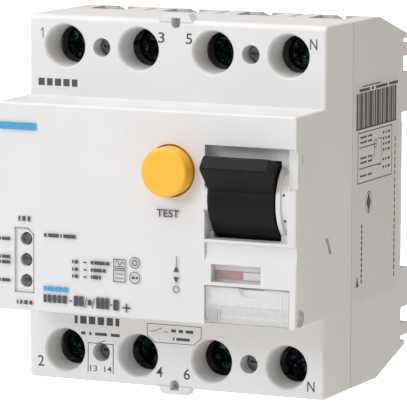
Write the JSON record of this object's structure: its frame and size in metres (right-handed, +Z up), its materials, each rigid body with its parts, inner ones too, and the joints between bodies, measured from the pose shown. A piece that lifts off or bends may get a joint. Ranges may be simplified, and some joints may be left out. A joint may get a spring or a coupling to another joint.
{
  "type": "residual current device",
  "caption": "Modular residual current device for a mounting rail, with toggle, test button, position flag, status lamps, hinged label cover and screw clamps at top and bottom.",
  "frame": {"origin": "middle of the face that seats on the mounting rail", "axes": "+X to the right, +Y back into the wall, +Z up; the front faces -Y"},
  "size_m": [0.07, 0.0704, 0.0826],
  "materials": {
    "housing": "light grey fine-grained moulded thermoplastic",
    "zinc_steel": "blue passivated zinc plate",
    "copper": "bare copper",
    "black_plastic": "semi-matt near-black",
    "spring_steel": "drawn wire",
    "core": "lacquered nickel-iron ring",
    "flag": "red in front and green above",
    "relay_case": "dark moulded case",
    "lever_plastic": "natural acetal",
    "button": "semi-gloss yellow orange",
    "lens": "clear window and light guide",
    "clear_cover": "clear polycarbonate",
    "card": "plain white card",
    "board": "glass epoxy with green mask",
    "alarm_case": "orange relay case",
    "capacitor": "dark blue sleeve"
  },
  "bodies": {
    "housing": {"rear_base": "housing", "front_cover": "housing", "case_screw_1": "zinc_steel", "case_screw_2": "zinc_steel", "case_screw_3": "zinc_steel", "case_screw_4": "zinc_steel", "line_bar_1": "copper", "line_bar_2": "copper", "line_bar_3": "copper", "line_bar_4": "copper", "load_lead_1": "copper", "load_lead_2": "copper", "load_lead_3": "copper", "load_lead_4": "copper", "sensing_coil": "copper", "test_contact": "copper", "opening_spring": "spring_steel", "toggle_spring": "spring_steel", "test_spring": "spring_steel", "toggle_pin": "spring_steel", "latch_pin": "spring_steel", "transformer_core": "core", "trip_relay": "relay_case", "window_lens": "lens", "light_guide": "lens", "label_card": "card", "circuit_board": "board", "alarm_relay": "alarm_case", "supply_capacitor": "capacitor"},
    "line_screw_1": {"line_screw_1": "zinc_steel"},
    "line_clamp_1": {"line_clamp_1": "zinc_steel"},
    "line_screw_2": {"line_screw_2": "zinc_steel"},
    "line_clamp_2": {"line_clamp_2": "zinc_steel"},
    "line_screw_3": {"line_screw_3": "zinc_steel"},
    "line_clamp_3": {"line_clamp_3": "zinc_steel"},
    "line_screw_4": {"line_screw_4": "zinc_steel"},
    "line_clamp_4": {"line_clamp_4": "zinc_steel"},
    "load_screw_1": {"load_screw_1": "zinc_steel"},
    "load_clamp_1": {"load_clamp_1": "zinc_steel"},
    "load_screw_2": {"load_screw_2": "zinc_steel"},
    "load_clamp_2": {"load_clamp_2": "zinc_steel"},
    "load_screw_3": {"load_screw_3": "zinc_steel"},
    "load_clamp_3": {"load_clamp_3": "zinc_steel"},
    "load_screw_4": {"load_screw_4": "zinc_steel"},
    "load_clamp_4": {"load_clamp_4": "zinc_steel"},
    "toggle": {"toggle": "black_plastic"},
    "contact_carrier": {"contact_carrier": "black_plastic", "drive_link": "spring_steel", "bridge_contact_1": "copper", "bridge_contact_2": "copper", "bridge_contact_3": "copper", "bridge_contact_4": "copper"},
    "position_flag": {"position_flag": "flag"},
    "test_button": {"test_button": "button"},
    "label_cover": {"label_cover": "clear_cover"},
    "rail_latch_upper": {"rail_latch_upper": "housing"},
    "rail_latch_lower": {"rail_latch_lower": "housing"},
    "trip_plunger": {"trip_plunger": "spring_steel"},
    "latch_lever": {"latch_lever": "lever_plastic"}
  },
  "joints": [
    {"name": "toggle_hinge", "type": "hinge", "parent": "housing", "child": "toggle", "pos_m": [0.02265, -0.051, 0.0042], "axis": [1, 0, 0], "range_deg": [0, 60]},
    {"name": "contact_slide", "type": "slide", "parent": "housing", "child": "contact_carrier", "axis": [0, -1, 0], "range_m": [0, 0.0052], "deforming": ["opening_spring"]},
    {"name": "flag_hinge", "type": "hinge", "parent": "housing", "child": "position_flag", "pos_m": [0.02265, -0.0507, -0.0123], "axis": [1, 0, 0], "range_deg": [0, 50]},
    {"name": "test_button_slide", "type": "slide", "parent": "housing", "child": "test_button", "axis": [0, 1, 0], "range_m": [0, 0.0025], "stiffness_N_per_m": 800, "springref_m": -0.002, "deforming": ["test_spring"]},
    {"name": "label_cover_hinge", "type": "hinge", "parent": "housing", "child": "label_cover", "pos_m": [0.024, -0.058, -0.0205], "axis": [1, 0, 0], "range_deg": [0, 120]},
    {"name": "upper_latch_slide", "type": "slide", "parent": "housing", "child": "rail_latch_upper", "axis": [0, 0, 1], "range_m": [0, 0.004]},
    {"name": "lower_latch_slide", "type": "slide", "parent": "housing", "child": "rail_latch_lower", "axis": [0, 0, -1], "range_m": [0, 0.004]},
    {"name": "trip_plunger_slide", "type": "slide", "parent": "housing", "child": "trip_plunger", "axis": [0, 0, 1], "range_m": [0, 0.0012]},
    {"name": "latch_lever_hinge", "type": "hinge", "parent": "housing", "child": "latch_lever", "pos_m": [0.018, -0.038, -0.001], "axis": [-1, 0, 0], "range_deg": [0, 15]},
    {"name": "line_screw_1_turn", "type": "hinge", "parent": "housing", "child": "line_screw_1", "pos_m": [-0.02625, -0.036, 0.0333], "axis": [0, 1, 0], "range_deg": [0, 2700]},
    {"name": "line_clamp_1_lift", "type": "slide", "parent": "housing", "child": "line_clamp_1", "axis": [0, -1, 0], "range_m": [0, 0.006]},
    {"name": "line_screw_2_turn", "type": "hinge", "parent": "housing", "child": "line_screw_2", "pos_m": [-0.00875, -0.036, 0.0333], "axis": [0, 1, 0], "range_deg": [0, 2700]},
    {"name": "line_clamp_2_lift", "type": "slide", "parent": "housing", "child": "line_clamp_2", "axis": [0, -1, 0], "range_m": [0, 0.006]},
    {"name": "line_screw_3_turn", "type": "hinge", "parent": "housing", "child": "line_screw_3", "pos_m": [0.00875, -0.036, 0.0333], "axis": [0, 1, 0], "range_deg": [0, 2700]},
    {"name": "line_clamp_3_lift", "type": "slide", "parent": "housing", "child": "line_clamp_3", "axis": [0, -1, 0], "range_m": [0, 0.006]},
    {"name": "line_screw_4_turn", "type": "hinge", "parent": "housing", "child": "line_screw_4", "pos_m": [0.02625, -0.036, 0.0333], "axis": [0, 1, 0], "range_deg": [0, 2700]},
    {"name": "line_clamp_4_lift", "type": "slide", "parent": "housing", "child": "line_clamp_4", "axis": [0, -1, 0], "range_m": [0, 0.006]},
    {"name": "load_screw_1_turn", "type": "hinge", "parent": "housing", "child": "load_screw_1", "pos_m": [-0.02625, -0.036, -0.0333], "axis": [0, 1, 0], "range_deg": [0, 2700]},
    {"name": "load_clamp_1_lift", "type": "slide", "parent": "housing", "child": "load_clamp_1", "axis": [0, -1, 0], "range_m": [0, 0.006]},
    {"name": "load_screw_2_turn", "type": "hinge", "parent": "housing", "child": "load_screw_2", "pos_m": [-0.00875, -0.036, -0.0333], "axis": [0, 1, 0], "range_deg": [0, 2700]},
    {"name": "load_clamp_2_lift", "type": "slide", "parent": "housing", "child": "load_clamp_2", "axis": [0, -1, 0], "range_m": [0, 0.006]},
    {"name": "load_screw_3_turn", "type": "hinge", "parent": "housing", "child": "load_screw_3", "pos_m": [0.00875, -0.036, -0.0333], "axis": [0, 1, 0], "range_deg": [0, 2700]},
    {"name": "load_clamp_3_lift", "type": "slide", "parent": "housing", "child": "load_clamp_3", "axis": [0, -1, 0], "range_m": [0, 0.006]},
    {"name": "load_screw_4_turn", "type": "hinge", "parent": "housing", "child": "load_screw_4", "pos_m": [0.02625, -0.036, -0.0333], "axis": [0, 1, 0], "range_deg": [0, 2700]},
    {"name": "load_clamp_4_lift", "type": "slide", "parent": "housing", "child": "load_clamp_4", "axis": [0, -1, 0], "range_m": [0, 0.006]}
  ],
  "couplings": [
    {"joint": "contact_slide", "follows": "toggle_hinge", "m_per_rad": 0.0049651},
    {"joint": "flag_hinge", "follows": "toggle_hinge", "ratio": 0.8333},
    {"joint": "latch_lever_hinge", "follows": "trip_plunger_slide", "rad_per_m": 218},
    {"joint": "line_screw_1_turn", "follows": "line_clamp_1_lift", "rad_per_m": 7854},
    {"joint": "line_screw_2_turn", "follows": "line_clamp_2_lift", "rad_per_m": 7854},
    {"joint": "line_screw_3_turn", "follows": "line_clamp_3_lift", "rad_per_m": 7854},
    {"joint": "line_screw_4_turn", "follows": "line_clamp_4_lift", "rad_per_m": 7854},
    {"joint": "load_screw_1_turn", "follows": "load_clamp_1_lift", "rad_per_m": 7854},
    {"joint": "load_screw_2_turn", "follows": "load_clamp_2_lift", "rad_per_m": 7854},
    {"joint": "load_screw_3_turn", "follows": "load_clamp_3_lift", "rad_per_m": 7854},
    {"joint": "load_screw_4_turn", "follows": "load_clamp_4_lift", "rad_per_m": 7854}
  ]
}
